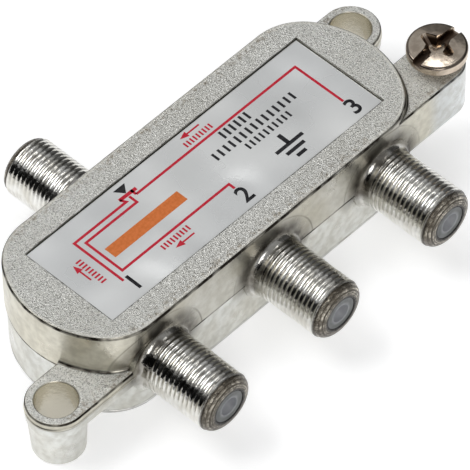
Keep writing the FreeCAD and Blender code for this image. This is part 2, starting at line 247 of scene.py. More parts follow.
def cap_between(rings):
    """A flat face inside the first ring, with a hole where the second one is."""
    edges = []
    for ring in rings:
        for step, vert in enumerate(ring):
            pair = (vert, ring[(step + 1) % len(ring)])
            edge = casting.edges.get(pair) or casting.edges.new(pair)
            edge.smooth = False
            edges.append(edge)
    bmesh.ops.triangle_fill(casting, edges=edges, use_beauty=True, normal=(0, 0, 1))


def rounded_rim(height, radius, highlight_tone):
    """(inset, height, tone) down the quarter round at the top of a wall, with a painted highlight just
    inside it and painted shade on the round.
    """
    highlight_far, highlight_near, below, steps = 0.32 * MM, 0.12 * MM, 0.15 * MM, 5
    levels = [(radius + highlight_far, height, 0), (radius + highlight_near, height, highlight_tone)]
    for step in range(steps + 1):
        angle = TURN / 4 * step / steps
        levels.append((radius * (1 - math.sin(angle)), height - radius * (1 - math.cos(angle)),
                       1.0 if step > 1 else highlight_tone / 2))
    levels.append((0, height - radius - below, 0.1))
    return levels


def stack(outline, levels):
    """Rings of one outline at each (inset, height, tone), joined from first to last."""
    rings = [ring_of(outline(inset), height, tone) for inset, height, tone in levels]
    for upper, lower in zip(rings, rings[1:]):
        wall_between(casting, lower, upper)
    return rings


# The tones paint shade along the step at the parting line.
seam_levels = [(0, 3.4, 0), (0, 2.4, 0.9), (0.6 * seam, 1.4, 1), (0.2 * seam, 0.4, 0.9),
               (lower_inset, 0, 0.9), (lower_inset, -1.6, 0.3), (lower_inset, -2.8, 0)]
outer = stack(case_outline, rounded_rim(case_top, case_rounding, edge_highlight_tone)
              + [(inset, parting + rise * seam, tone) for inset, rise, tone in seam_levels]
              + [(lower_inset, cover_top + 3 * seam, 0), (lower_inset, cover_top + seam, 0.3),
                 (lower_inset + seam, cover_top, 1)])
cavity = stack(case_outline, [(lower_inset + wall, cover_top, 0), (lower_inset + wall, case_top - roof, 0)])
wall_between(casting, cavity[0], outer[-1])
casting.faces.new(cavity[-1])

bed_x, bed_y = label_high.x + bed_gap, label_high.y + bed_gap
bed_outline = [(-bed_x, -bed_y), (bed_x, -bed_y), (bed_x, bed_y), (-bed_x, bed_y)]
bed_floor = ring_of(bed_outline, label_low.z, 0.1)
bed_lip = ring_of(bed_outline, case_top - bed_lip_drop, 0.1)
# The bed's rim is painted dark, as shade of the gap round the label.
bed_rim = ring_of(bed_outline, case_top, 0.9)
wall_between(casting, bed_floor, bed_lip)
wall_between(casting, bed_lip, bed_rim)
casting.faces.new(bed_floor)
for out, tone in bed_shade:
    wider = [(x + math.copysign(out, x), y + math.copysign(out, y)) for x, y in bed_outline]
    bed_edge = ring_of(wider, case_top, tone)
    wall_between(casting, bed_rim, bed_edge)
    bed_rim = bed_edge
cap_between([outer[0], bed_rim])

# The ears and the earth lug: each ear is a plate on a hollow post that reaches down to the
# wall behind, at opposite corners of the case. The lug is thicker and stands almost as high
# as the case. A small fillet, painted with shade, runs along each where it meets the case.
ear_x, ear_y = 38.7 * MM, 8.5 * MM
ear_top, ear_floor = 9.9 * MM, 7.1 * MM
ear_radius, ear_hole, ear_fillet = 4.5 * MM, 3.15 * MM, 0.55 * MM
post_top, post_foot, post_chamfer = 4.3 * MM, 3.9 * MM, 0.25 * MM
lug_top, lug_floor = 16.2 * MM, 8.0 * MM
lug_radius, lug_hole, lug_fillet = 4.2 * MM, 2.05 * MM, 0.35 * MM
plate_root, plate_rounding = 0.9 * MM, 0.3 * MM
mouth_width, mouth_depth, bore_start = 0.15 * MM, 0.12 * MM, 0.35 * MM
tip_steps, root_steps, hole_steps, fillet_steps = 32, 12, 48, 26
# The fillet's tones paint shade in the crease where a plate meets the case.
fillet_fade, fillet_shade_tones = 1.2 * MM, (0.1, 0.7, 1, 0.7, 0.25, 0)
# The flash's tones paint a highlight on its lip and shade below it.
flash_levels = ((0, 0.3, 0.25), (-0.12, 0.12, -0.4), (-0.12, 0, 0.8), (0.05, -0.2, 0.9), (0.05, -0.4, 0.1))


def wall_spot(y, out=0.0):
    """The point on the right-hand case wall at y, moved outwards along its normal."""
    if abs(y) <= end_radius * math.sin(lean):
        angle, centre, radius = math.asin(y / end_radius), (end_x, 0), end_radius
    else:
        angle = math.copysign(math.asin(min((abs(y) - corner_y) / corner_radius, 1)), y)
        centre, radius = (corner_x, math.copysign(corner_y, y)), corner_radius
    return centre[0] + (radius + out) * math.cos(angle), centre[1] + (radius + out) * math.sin(angle)


def plate_outline(side_y, radius, inset):
    """A plate from inside the case wall out to a half round about its hole."""
    reach = radius - inset
    tip = arc(ear_x, side_y, reach, -TURN / 4, TURN / 4, tip_steps) + [(ear_x, side_y + reach)]
    root = []
    for step in range(root_steps + 1):
        y = side_y + reach * (1 - 2 * step / root_steps)
        root.append((wall_spot(max(min(y, half_width), -half_width), -plate_root)[0], y))
    return tip + root


def half_turned(shape, turned):
    """The shape itself, or at the opposite corner of the case."""
    return [(-x, -y) for x, y in shape] if turned else shape


def circle(side_y, radius, turned):
    """Points about the axis of an ear or of the lug."""
    return half_turned(arc(ear_x, side_y, radius, 0, TURN, hole_steps), turned)


def plate(turned, side_y, top, bottom, radius, hole, fillet, flash=None):
    """A plate with rounded edges and its hole; flash is the height of its parting line."""
    levels = rounded_rim(top, plate_rounding, -0.2)
    if flash:
        levels += [(inset * MM, flash + rise * MM, tone) for inset, rise, tone in flash_levels]
    levels.append((0, bottom, 0))
    rings = stack(lambda inset: half_turned(plate_outline(side_y, radius, inset), turned), levels)
    brim = ring_of(circle(side_y, hole + mouth_width, turned), top)
    # Painted shade at the hole's mouth and a painted highlight down its bore.
    mouth = ring_of(circle(side_y, hole, turned), top - mouth_depth, 0.4)
    wall_between(casting, mouth, brim)
    bore = ring_of(circle(side_y, hole, turned), top - bore_start, -0.3)
    wall_between(casting, bore, mouth)
    cap_between([rings[0], brim])
    bands = []
    for band, tone in enumerate(fillet_shade_tones):
        turn = TURN / 4 * band / (len(fillet_shade_tones) - 1)
        bands.append([])
        for step in range(fillet_steps + 1):
            y = side_y - radius + 2 * radius * step / fillet_steps
            size = fillet * min(1.0, (half_width - abs(y)) / fillet_fade)
            x, y = half_turned([wall_spot(y, size * (1 - math.sin(turn)))], turned)[0]
            vert = casting.verts.new((x, y, top + size * (1 - math.cos(turn))))
            vert[painted_edge_shading] = tone
            bands[-1].append(vert)
    for lower, upper in zip(bands, bands[1:]):
        for step in range(fillet_steps):
            casting.faces.new((lower[step], lower[step + 1], upper[step + 1], upper[step]))
    return rings, bore


for turned in (False, True):
    rings, bore = plate(turned, ear_y, ear_top, ear_floor, ear_radius, ear_hole, ear_fillet, flash=parting)
    post = [ring_of(circle(ear_y, radius, turned), height) for radius, height in (
        (post_top, ear_floor), (post_foot, post_chamfer), (post_foot - 0.2 * MM, 0))]
    # A painted highlight round the foot of the hole.
    foot = ring_of(circle(ear_y, ear_hole, turned), 0, -0.5)
    cap_between([rings[-1], post[0]])
    for lower, upper in ((post[1], post[0]), (post[2], post[1]), (foot, post[2]), (foot, bore)):
        wall_between(casting, lower, upper)

rings, bore = plate(False, -ear_y, lug_top, lug_floor, lug_radius, lug_hole, lug_fillet)
lower_mouth = ring_of(circle(-ear_y, lug_hole, False), lug_floor)
cap_between([rings[-1], lower_mouth])
wall_between(casting, lower_mouth, bore)


def crease(shell, angle=math.radians(32)):
    """Smooth faces, with a hard edge wherever two of them meet at more than the angle."""
    bmesh.ops.recalc_face_normals(shell, faces=shell.faces)
    for face in shell.faces:
        face.smooth = True
    for edge in shell.edges:
        if len(edge.link_faces) == 2 and edge.calc_face_angle(0) > angle:
            edge.smooth = False


def mesh_from(name, shell):
    """A mesh from a finished shell, which is then let go."""
    mesh = bpy.data.meshes.new(name)
    shell.to_mesh(mesh)
    shell.free()
    return mesh


def show(name, mesh, material):
    """A new piece in the scene from a mesh, with its material."""
    mesh.materials.clear()
    mesh.materials.append(material)
    return put(name, mesh)


crease(casting)
casting_mesh = mesh_from("case_casting", casting)

# The casting's finish: thin nickel over zinc. Flat tops are blasted and sparkle with painted
# glints, walls are satin with faint stains and painted light and shade, edges carry painted
# highlights and painted shade, the thread's grooves dirt and painted shade, and the roots of
# the ports have gone dark.
port_step, input_x = 22.5 * MM, -11.0 * MM
insert_radius, insert_line = 8.0 * MM, (0.22 * MM, 0.04 * MM)
rim_start, rim_end, rim_crack = 24.6 * MM, 25.0 * MM, 24.85 * MM
soot_out, soot_up = (9.0 * MM, 5.4 * MM), (-3.6 * MM, 0.6 * MM)
case_ends, lug_x, lug_y = (24 * MM, 30 * MM), (32 * MM, 35 * MM), (-2 * MM, -4 * MM)
long_edges, side_half = (10.6 * MM, 12.6 * MM), 33 * MM


def node_group(name, inputs, outputs):
    """A shader group whose sockets are all numbers, as (group, its nodes)."""
    group = bpy.data.node_groups.new(name, "ShaderNodeTree")
    for label, value in inputs.items():
        socket = group.interface.new_socket(label, in_out="INPUT", socket_type="NodeSocketFloat")
        socket.default_value = value
    for label in outputs:
        group.interface.new_socket(label, in_out="OUTPUT", socket_type="NodeSocketFloat")
    return group, group.nodes


def coordinates(nodes, kind="Object"):
    """The place that is shaded, or with Normal the way that it faces."""
    return nodes.new("ShaderNodeTexCoord").outputs[kind]


def apart(nodes, vector):
    """The X, Y and Z of a vector, by their names."""
    return add(nodes, "ShaderNodeSeparateXYZ", Vector=vector).outputs


mottle, nodes = node_group(
    "mottle", {"Scale": 100.0, "Detail": 3.0, "Low": 0.0, "High": 1.0, "Spread": 0.2}, ["Value"])
given = nodes.new("NodeGroupInput").outputs
cloud = add(nodes, "ShaderNodeTexNoise", Vector=coordinates(nodes), Scale=given["Scale"],
            Detail=given["Detail"])
stretch = add(nodes, "ShaderNodeMapRange", interpolation_type="SMOOTHSTEP", Value=cloud.outputs["Fac"],
              From_Min=maths("SUBTRACT", 0.5, given["Spread"]), From_Max=maths("ADD", 0.5, given["Spread"]),
              To_Min=given["Low"], To_Max=given["High"])
add(nodes, "NodeGroupOutput", Value=stretch.outputs["Result"])


def mottled(nodes, scale, low=0.0, high=1.0, detail=3.0, spread=0.2):
    """A number that wanders from low to high in soft patches."""
    return add(nodes, "ShaderNodeGroup", node_tree=mottle, Scale=scale, Detail=detail,
               Low=low, High=high, Spread=spread).outputs["Value"]


def between(factor, first, second):
    """A colour between two others by a factor; each of the three may be a socket."""
    values = (factor, first, second)
    mix = add(nodes_of(*values), "ShaderNodeMix", data_type="RGBA")
    for value, socket in zip(values, (mix.inputs[0], mix.inputs[6], mix.inputs[7])):
        feed(value, socket)
    return mix.outputs[2]


def patchy(nodes, scale, first, second, detail=3.0):
    """A colour that wanders between two in soft patches."""
    return between(mottled(nodes, scale, detail=detail), first, second)


def ramp(value, start, stop):
    """0 before start and 1 after stop, smooth between them."""
    return add(nodes_of(value), "ShaderNodeMapRange", interpolation_type="SMOOTHSTEP",
               Value=value, From_Min=start, From_Max=stop).outputs["Result"]


def times(first, *others):
    """The product of numbers and sockets."""
    for other in others:
        first = maths("MULTIPLY", first, other)
    return first


def minus(first, second):
    """The first less the second."""
    return maths("SUBTRACT", first, second)


def size_of(value):
    """A number without its sign."""
    return maths("ABSOLUTE", value)


def squares(first, second):
    """The squares of two distances added up."""
    return maths("ADD", times(first, first), times(second, second))


def finish(nodes, colour, roughness, metallic=1.0, relief=None, strength=1.0, depth=0.0):
    """The material's one shader; relief is the height of its bumps, and depth their size."""
    shader = add(nodes, "ShaderNodeBsdfPrincipled", Metallic=metallic, Base_Color=colour,
                 Roughness=roughness)
    if relief is not None:
        bumps = add(nodes, "ShaderNodeBump", Strength=strength, Distance=depth, Height=relief)
        feed(bumps.outputs[0], shader.inputs["Normal"])
    put_out(nodes, shader)
    return shader


port_distance, nodes = node_group("port_distance", {}, ["Distance", "Rise"])
spot = apart(nodes, coordinates(nodes))
on_input_side = maths("GREATER_THAN", spot["Y"], 0.0)
across_in = times(minus(spot["X"], input_x), on_input_side)
across_out = times(maths("WRAP", spot["X"], port_step / 2, -port_step / 2), minus(1.0, on_input_side))
across = maths("ADD", across_in, across_out)
rise = minus(spot["Z"], parting)
add(nodes, "NodeGroupOutput", Distance=maths("SQRT", squares(across, rise)), Rise=rise)

zinc, nodes = new_material("blasted_zinc")
spot, facing = apart(nodes, coordinates(nodes)), apart(nodes, coordinates(nodes, "Normal"))
out_from_middle = size_of(spot["Y"])
barrel = ramp(out_from_middle, half_width + 0.05 * MM, half_width + 0.3 * MM)
blasted = times(ramp(facing["Z"], 0.90, 0.985), minus(1.0, barrel))

# Blasted skin: pits under a quarter of a millimetre across, some painted bright as glints
# and some dark, and stains along the two long edges.
pits = add(nodes, "ShaderNodeTexVoronoi", Scale=7200.0, Vector=coordinates(nodes))
pit_shade = add(nodes, "ShaderNodeSeparateColor", Color=pits.outputs["Color"]).outputs
sand = patchy(nodes, 4200, (0.68, 0.675, 0.63), (0.96, 0.955, 0.91), detail=1)
sand = between(mottled(nodes, 50, 0.0, 0.35), sand, (0.62, 0.605, 0.53))
# Painted light: the ears' sand is paler, against the shade that the case casts on them.
on_ear = ramp(spot["Z"], ear_top + 0.5 * MM, ear_top + 0.2 * MM)
sand = between(on_ear, sand, patchy(nodes, 4200, (0.70, 0.695, 0.65), (0.98, 0.975, 0.93), detail=1))
near_edge = times(ramp(out_from_middle, *long_edges), mottled(nodes, 1300, -0.8, 0.75, detail=4))
sand = between(maths("MAXIMUM", near_edge, 0.0), sand, (0.30, 0.235, 0.15))
# Bright pits are painted glints.
glint_pit = ramp(pit_shade["Red"], 0.75, 1.0)
dark_pit = ramp(pit_shade["Green"], 0.78, 0.98)
sand = between(glint_pit, sand, (0.98, 0.98, 0.95))
sand = between(times(dark_pit, 0.7), sand, (0.22, 0.212, 0.185))

# Satin walls: painted darker and warmer above the parting line, and paler below it and
# at the ends, as painted light and shade; with stains and soot about the ports, and the
# round witness line that each port's mould insert leaves.
over_seam, under_seam = parting + 0.1 * MM, parting - 0.3 * MM
# Painted light and shade: the wall is darker above the parting line and paler below it.
satin = patchy(nodes, 130, (0.515, 0.49, 0.41), (0.60, 0.59, 0.54), detail=4)
lit_lower_satin = patchy(nodes, 160, (0.68, 0.672, 0.618), (0.745, 0.753, 0.725), detail=4)
satin = between(ramp(spot["Z"], over_seam, under_seam), satin, lit_lower_satin)
# Painted light: the ends of the case are paler above the parting line.
lit_end = times(ramp(size_of(spot["X"]), *case_ends), ramp(spot["Z"], under_seam, over_seam))
satin = between(times(lit_end, 0.7), satin, (0.74, 0.71, 0.60))
on_lug = times(ramp(spot["X"], *lug_x), ramp(spot["Y"], *lug_y))
satin = between(on_lug, satin, patchy(nodes, 160, (0.66, 0.68, 0.675), (0.76, 0.785, 0.785)))
satin = between(mottled(nodes, 700, 0.0, 0.40, detail=5), satin, (0.34, 0.32, 0.26))
port_map = add(nodes, "ShaderNodeGroup", node_tree=port_distance).outputs
from_port, rise = port_map["Distance"], port_map["Rise"]
on_side = times(ramp(size_of(facing["Y"]), 0.35, 0.8), maths("LESS_THAN", size_of(spot["X"]), side_half))
soot = times(ramp(from_port, *soot_out), ramp(rise, *soot_up), mottled(nodes, 380, 0.6, 1.1, detail=4),
             on_side)
satin = between(soot, satin, (0.07, 0.062, 0.05))
off_circle = size_of(minus(from_port, insert_radius))
witness = times(ramp(off_circle, *insert_line), mottled(nodes, 75, -0.2, 0.8, detail=2), on_side,
                ramp(rise, -1.0 * MM, 1.0 * MM))
satin = between(witness, satin, (0.16, 0.15, 0.12))
ear_gap_x = minus(size_of(spot["X"]), ear_x)
ear_gap_y = minus(times(spot["Y"], maths("SIGN", spot["X"])), ear_y)
from_ear = maths("SQRT", squares(ear_gap_x, ear_gap_y))
in_bore = ramp(from_ear, ear_hole + 0.07 * MM, ear_hole + 0.02 * MM)
satin = between(in_bore, satin, (0.62, 0.58, 0.475))

# Barrels: bright on the thread's crests, dirty and painted with shade in its grooves, sooty
# at the root and bronze at the rim, where the plating has worn and tarnished, with painted
# shade in the mouth round the insulator.
bright = patchy(nodes, 500, (0.68, 0.66, 0.60), (0.86, 0.855, 0.82), detail=4)
groove = add(nodes, "ShaderNodeAttribute", attribute_name="groove").outputs["Fac"]
# Dirt and painted shade in the thread's grooves, less on the barrel's underside.
groove_dirt_and_shade = times(maths("MULTIPLY", groove, mottled(nodes, 700, 0.35, 0.95), clamp=True),
                    maths("MULTIPLY_ADD", ramp(rise, 0.5 * MM, 3.2 * MM), 0.8, 0.2))
bright = between(groove_dirt_and_shade, bright, (0.10, 0.09, 0.075))
root = times(minus(1.0, ramp(out_from_middle, half_width + 0.8 * MM, half_width + 3.2 * MM)),
             mottled(nodes, 420, 0.45, 1.0),
             maths("MULTIPLY_ADD", ramp(rise, -3.5 * MM, 1.0 * MM), 0.75, 0.2))
bright = between(root, bright, (0.09, 0.078, 0.06))
rim = ramp(out_from_middle, rim_start, rim_end)
worn = times(mottled(nodes, 420, detail=4), 0.16 * MM)
rings = add(nodes, "ShaderNodeTexNoise", noise_dimensions="1D", Scale=2600.0, Detail=2.0,
            W=minus(maths("ADD", from_port, worn), out_from_middle))
ring_shade = times(ramp(rings.outputs["Fac"], 0.38, 0.62), mottled(nodes, 700, 0.1, 1.0, detail=5),
                   mottled(nodes, 260, 0.45, 1.25, detail=2))
bronze = between(ring_shade, (0.09, 0.076, 0.057), (0.74, 0.69, 0.59))
bronze = between(mottled(nodes, 2300, 0.0, 0.72, spread=0.12), bronze, (0.05, 0.042, 0.032))
in_crack = ramp(size_of(minus(out_from_middle, rim_crack)), 0.28 * MM, 0.08 * MM)
bronze = between(times(in_crack, 0.85), bronze, (0.035, 0.03, 0.025))
bright = between(rim, bright, bronze)
# Painted shade in the mouth of the port round the insulator.
mouth_shade = times(ramp(from_port, 3.2 * MM, 2.85 * MM), rim)
bright = between(mouth_shade, bright, (0.02, 0.018, 0.016))

# All of it together, with painted highlights and painted shade on the edges by the casting's tone.
colour = between(barrel, between(blasted, satin, sand), bright)
tone = add(nodes, "ShaderNodeAttribute", attribute_name="painted_edge_shading").outputs["Fac"]
# Painted highlights where the tone is below zero, painted shade where it is above.
colour = between(maths("MULTIPLY", tone, -1.0, clamp=True), colour, (0.93, 0.91, 0.84))
edge_shade = maths("MULTIPLY", tone, mottled(nodes, 420, 0.45, 1.2), clamp=True)
colour = between(edge_shade, colour, (0.022, 0.018, 0.014))
roughness = between(blasted, mottled(nodes, 220, 0.26, 0.40), (0.50, 0.50, 0.50))
roughness = between(in_bore, roughness, (0.24, 0.24, 0.24))
roughness = between(barrel, roughness, mottled(nodes, 600, 0.12, 0.20))
pit_height = times(pits.outputs["Distance"], maths("MAXIMUM", blasted, times(rim, 0.7)))
skin = times(mottled(nodes, 1500, detail=4), 0.16)
finish(nodes, colour, roughness, relief=maths("ADD", pit_height, skin), depth=0.10 * MM)

case_piece = show("case_casting", casting_mesh, zinc)
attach(case_piece, "case")
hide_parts("housing")

# The ports: four threaded barrels cast with the case, one input and three outputs. A die
# leaves a raised seam along both sides of each thread, and its rim is rolled in over the
# insulator. The thread is a profile turned about its axis, with the helix pressed into it.
port_radius, port_face, port_bore = 4.75 * MM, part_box("insulator_in")[1].y, 3.0 * MM
ports = {name: (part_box("insulator_" + name)[0].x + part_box("insulator_" + name)[1].x) / 2
         for name in ("in", "out_1", "out_2", "out_3")}
thread_pitch, thread_depth, thread_limit = 25.4 / 32 * MM, 0.08 * MM, 4.3 * MM
reach = port_face - half_width
flare_end, thread_start, thread_end = 1.1 * MM, 1.5 * MM, reach - 1.2 * MM
flare_radius, flare_steps, thread_steps, steps_round = 5.75 * MM, 9, 104, 97
rim_radius, face_radius, lip_radius, lip, roll_steps = 4.55 * MM, 2.95 * MM, 2.6 * MM, 0.12 * MM, 12
inside = -1.0 * MM


def geometry_nodes(name, inputs):
    """A Geometry Nodes tree that takes and gives geometry, as (tree, its nodes)."""
    tree = bpy.data.node_groups.new(name, "GeometryNodeTree")
    for label, kind in {"Geometry": "Geometry", **inputs}.items():
        tree.interface.new_socket(label, in_out="INPUT", socket_type="NodeSocket" + kind)
    tree.interface.new_socket("Geometry", in_out="OUTPUT", socket_type="NodeSocketGeometry")
    return tree, tree.nodes


turning, nodes = geometry_nodes("threaded_turning", {
    "Places": "Object", "Steps Round": "Int", "Pitch": "Float", "Depth": "Float", "Thread Start": "Float",
    "Thread End": "Float", "Inner Limit": "Float", "Seam": "Float", "Material": "Material"})
given = nodes.new("NodeGroupInput").outputs
profile_size = add(nodes, "GeometryNodeAttributeDomainSize", Geometry=given["Geometry"])
rows = profile_size.outputs["Point Count"]
sheet = add(nodes, "GeometryNodeMeshGrid", Vertices_X=given["Steps Round"], Vertices_Y=rows)
position = nodes.new("GeometryNodeInputPosition").outputs[0]
flat = apart(nodes, position)
around = maths("ADD", flat["X"], 0.5)
angle = times(around, TURN)
row = maths("ROUND", times(maths("ADD", flat["Y"], 0.5), minus(rows, 1.0)))
profile_point = add(nodes, "GeometryNodeSampleIndex", data_type="FLOAT_VECTOR", domain="POINT",
                    Geometry=given["Geometry"], Value=position, Index=row)
turned_point = apart(nodes, profile_point.outputs["Value"])
radius, along = turned_point["X"], turned_point["Y"]
helix = maths("ADD", maths("DIVIDE", along, given["Pitch"]), around)
trough = times(minus(1.0, maths("COSINE", times(helix, TURN))), 0.5)


def gate(value, edge, width):
    """0 before an edge and 1 after it, with a slope that wide; a minus turns it round."""
    return maths("ADD", maths("DIVIDE", minus(value, edge), width), 0.5, clamp=True)


threaded = times(gate(along, given["Thread Start"], 0.7 * MM), gate(along, given["Thread End"], -0.5 * MM),
                 gate(radius, given["Inner Limit"], 0.01 * MM))
on_seam = times(gate(size_of(maths("COSINE", angle)), 0.9975, 0.003), given["Seam"])
cut = times(trough, threaded, minus(1.0, on_seam))
cut_radius = minus(radius, times(cut, given["Depth"]))
round_point = add(nodes, "ShaderNodeCombineXYZ", X=times(cut_radius, maths("COSINE", angle)), Y=along,
                  Z=times(cut_radius, maths("SINE", angle)))
groove_mark = add(nodes, "GeometryNodeStoreNamedAttribute", data_type="FLOAT", domain="POINT",
                  Geometry=sheet.outputs["Mesh"], Name="groove", Value=cut)
rolled = add(nodes, "GeometryNodeSetPosition", Geometry=groove_mark.outputs[0],
             Position=round_point.outputs[0])
closed = add(nodes, "GeometryNodeMergeByDistance", Geometry=rolled.outputs[0], Distance=0.002 * MM)
spots = add(nodes, "GeometryNodeObjectInfo", Object=given["Places"])
heading = add(nodes, "GeometryNodeInputNamedAttribute", data_type="FLOAT_VECTOR", Name="heading")
spread = add(nodes, "GeometryNodeInstanceOnPoints", Points=spots.outputs["Geometry"],
             Instance=closed.outputs[0], Rotation=heading.outputs[0])
real = add(nodes, "GeometryNodeRealizeInstances", Geometry=spread.outputs[0])
painted = add(nodes, "GeometryNodeSetMaterial", Geometry=real.outputs[0], Material=given["Material"])
add(nodes, "NodeGroupOutput", Geometry=painted.outputs[0])


def baked(thing):
    """The thing's mesh with its modifiers worked out."""
    bpy.context.view_layer.update()
    return bpy.data.meshes.new_from_object(thing.evaluated_get(bpy.context.evaluated_depsgraph_get()))


def creased(name, mesh):
    """The mesh under a new name, smooth but for its hard edges."""
    shell = bmesh.new()
    shell.from_mesh(mesh)
    crease(shell)
    shell.to_mesh(mesh)
    shell.free()
    mesh.name = name
    return mesh


def turned_pieces(name, profile, places, **sizes):
    """Turn a (radius, along) profile with its thread at each (point, heading) place."""
    spots_mesh = bpy.data.meshes.new(name + "_places")
    spots_mesh.from_pydata([point for point, _ in places], [], [])
    headings = spots_mesh.attributes.new("heading", "FLOAT_VECTOR", "POINT")
    for item, (_, turn) in zip(headings.data, places):
        item.vector = turn
    profile_mesh = bpy.data.meshes.new(name + "_profile")
    profile_mesh.from_pydata([(radius, along, 0) for radius, along in profile], [], [])
    maker, spots_object = put(name + "_profile", profile_mesh), put(name + "_places", spots_mesh)
    modifier = maker.modifiers.new("turning", "NODES")
    modifier.node_group = turning
    sockets = {item.name: item.identifier for item in turning.interface.items_tree
               if item.in_out == "INPUT"}
    modifier[sockets["Places"]] = spots_object
    for label, value in sizes.items():
        modifier[sockets[label.replace("_", " ")]] = value
    mesh = baked(maker)
    maker.modifiers.remove(modifier)
    for item in (maker, spots_object):
        bpy.data.objects.remove(item)
    return creased(name, mesh)


def steps_between(start, stop, count):
    """Even steps from start towards stop, without the last one."""
    return [start + (stop - start) * step / count for step in range(count)]


barrel_profile = [(port_bore, inside), (flare_radius, inside)]
for step in range(flare_steps + 1):
    turn = TURN / 4 * step / flare_steps
    barrel_profile.append((flare_radius - (flare_radius - port_radius) * math.sin(turn),
                           flare_end * (1 - math.cos(turn))))
barrel_profile += [(port_radius, along)
                   for along in steps_between(flare_end + 0.1 * MM, thread_end, thread_steps)]
barrel_profile += [(port_radius - 0.06 * MM, reach - 1.15 * MM), (rim_radius, reach - 1.05 * MM)]
for step in range(roll_steps + 1):
    turn = TURN / 4 * step / roll_steps
    barrel_profile.append((face_radius + (rim_radius - face_radius) * math.cos(turn),
                           reach - 1.0 * MM + (1.0 * MM + lip) * math.sin(turn)))
barrel_profile += [(lip_radius + 0.25 * MM, reach + lip), (lip_radius + 0.07 * MM, reach + 0.7 * lip),
                   (lip_radius, reach + 0.1 * lip), (port_bore, reach), (port_bore, inside)]
port_places = [((x, half_width, parting), (0, 0, 0)) if name == "in"
               else ((x, -half_width, parting), (0, 0, math.pi)) for name, x in ports.items()]
ports_mesh = turned_pieces("threaded_ports", barrel_profile, port_places, Steps_Round=steps_round,
                           Pitch=thread_pitch, Depth=thread_depth, Thread_Start=thread_start,
                           Thread_End=thread_end, Inner_Limit=thread_limit, Seam=0.6, Material=zinc)
ports_piece = show("threaded_ports", ports_mesh, zinc)
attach(ports_piece, "case")
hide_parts("housing")

# The back cover: a flat plate of tinned sheet, dropped on the open back. It is held by the
# solder round its edge.


def finish_node(name, material):
    """Give a CAD node its material."""
    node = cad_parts[name]
    node.data.materials.clear()
    node.data.materials.append(material)


tin, nodes = new_material("dull_tin")
grey = patchy(nodes, 90, (0.55, 0.55, 0.54), (0.68, 0.68, 0.66), detail=5)
finish(nodes, grey, mottled(nodes, 300, 0.3, 0.5), relief=mottled(nodes, 700, detail=4), strength=0.6,
       depth=0.03 * MM)
finish_node("back_cover", tin)

# The solder: one uneven bead of bright tin, run by hand along the joint between the cover's
# edge and the foot of the case. It swells and thins on its way round.
bead_profile = ((-0.02, 0.62), (0.10, 0.58), (0.16, 0.48), (0.15, 0.36), (0.08, 0.26), (-0.02, 0.20))
bead_top = 0.62
bead = bmesh.new()
bead_rings = []
for out, height in bead_profile:
    bead_rings.append([])
    for step, (x, y) in enumerate(case_outline(lower_inset + seam)):
        swell = 0.65 + 0.25 * math.sin(step * 0.71) + 0.2 * math.sin(step * 0.27 + 1.3)
        away = Vector((x - math.copysign(min(abs(x), end_x), x), y)).normalized() * out * swell * MM
        level = (bead_top + (height - bead_top) * (0.75 + 0.25 * swell)) * MM
        bead_rings[-1].append(bead.verts.new((x + away.x, y + away.y, level)))
for upper, lower in zip(bead_rings, bead_rings[1:] + bead_rings[:1]):
    wall_between(bead, lower, upper)
crease(bead, math.radians(60))
solder, nodes = new_material("solder")
finish(nodes, patchy(nodes, 300, (0.50, 0.49, 0.46), (0.74, 0.74, 0.72), detail=4),
       mottled(nodes, 500, 0.2, 0.4))
bead_piece = show("solder_bead", mesh_from("solder_bead", bead), solder)
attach(bead_piece, "case")

# The label: a thin foil plate pressed into the bed on top, dark along its cut edges with
# painted shade of the gap round it. Its silver is a little uneven and it lies in faint waves.
cut_width = 0.05 * MM
foil, nodes = new_material("label_foil")
spot = apart(nodes, coordinates(nodes))
# Painted shade along the foil's cut edges, for the gap round it.
cut_edge_shade = maths("MAXIMUM", maths("GREATER_THAN", size_of(spot["X"]), label_high.x - cut_width),
                 maths("GREATER_THAN", size_of(spot["Y"]), label_high.y - cut_width))
silver = patchy(nodes, 45, (0.70, 0.71, 0.705), (0.82, 0.825, 0.81), detail=1)
finish(nodes, between(cut_edge_shade, silver, (0.03, 0.03, 0.03)), mottled(nodes, 90, 0.26, 0.36), metallic=0.55,
       relief=mottled(nodes, 70, detail=1), strength=0.6, depth=0.6 * MM)
finish_node("label", foil)

# The print on the label: a red path for the signal with arrows, black marks and one orange
# field. A numeral stands at each output and a triangle at the input. Sizes are in
# millimetres on the label, from its middle.
ink_height, ink_thickness = label_high.z + 0.012 * MM, 0.015 * MM
line_width, arrow_width, arrow_head = 0.42, 0.28, 1.1
numerals = {"1": (-21.4, -7.1), "2": (0.5, -7.35), "3": (22.8, -7.4)}
numeral_size, numeral_weight = 4.06, 0.07


def ink(name, colour):
    """A printing ink, a little faded in fine specks."""
    material, nodes = new_material(name)
    faded = tuple(min(1, channel * 1.25 + 0.02) for channel in colour)
    speckled = between(mottled(nodes, 2200, 0.0, 0.6), colour, faded)
    paint = finish(nodes, speckled, mottled(nodes, 900, 0.35, 0.5), metallic=0.0)
    paint.inputs["Specular IOR Level"].default_value = 0.15
    return material


def print_flat(shapes):
    """A bmesh of flat printed shapes, each a list of corners in millimetres."""
    page = bmesh.new()
    for shape in shapes:
        face = page.faces.new([page.verts.new((x * MM, y * MM, ink_height)) for x, y in shape])
        face.normal_update()
        if face.normal.z < 0:
            face.normal_flip()
    return page


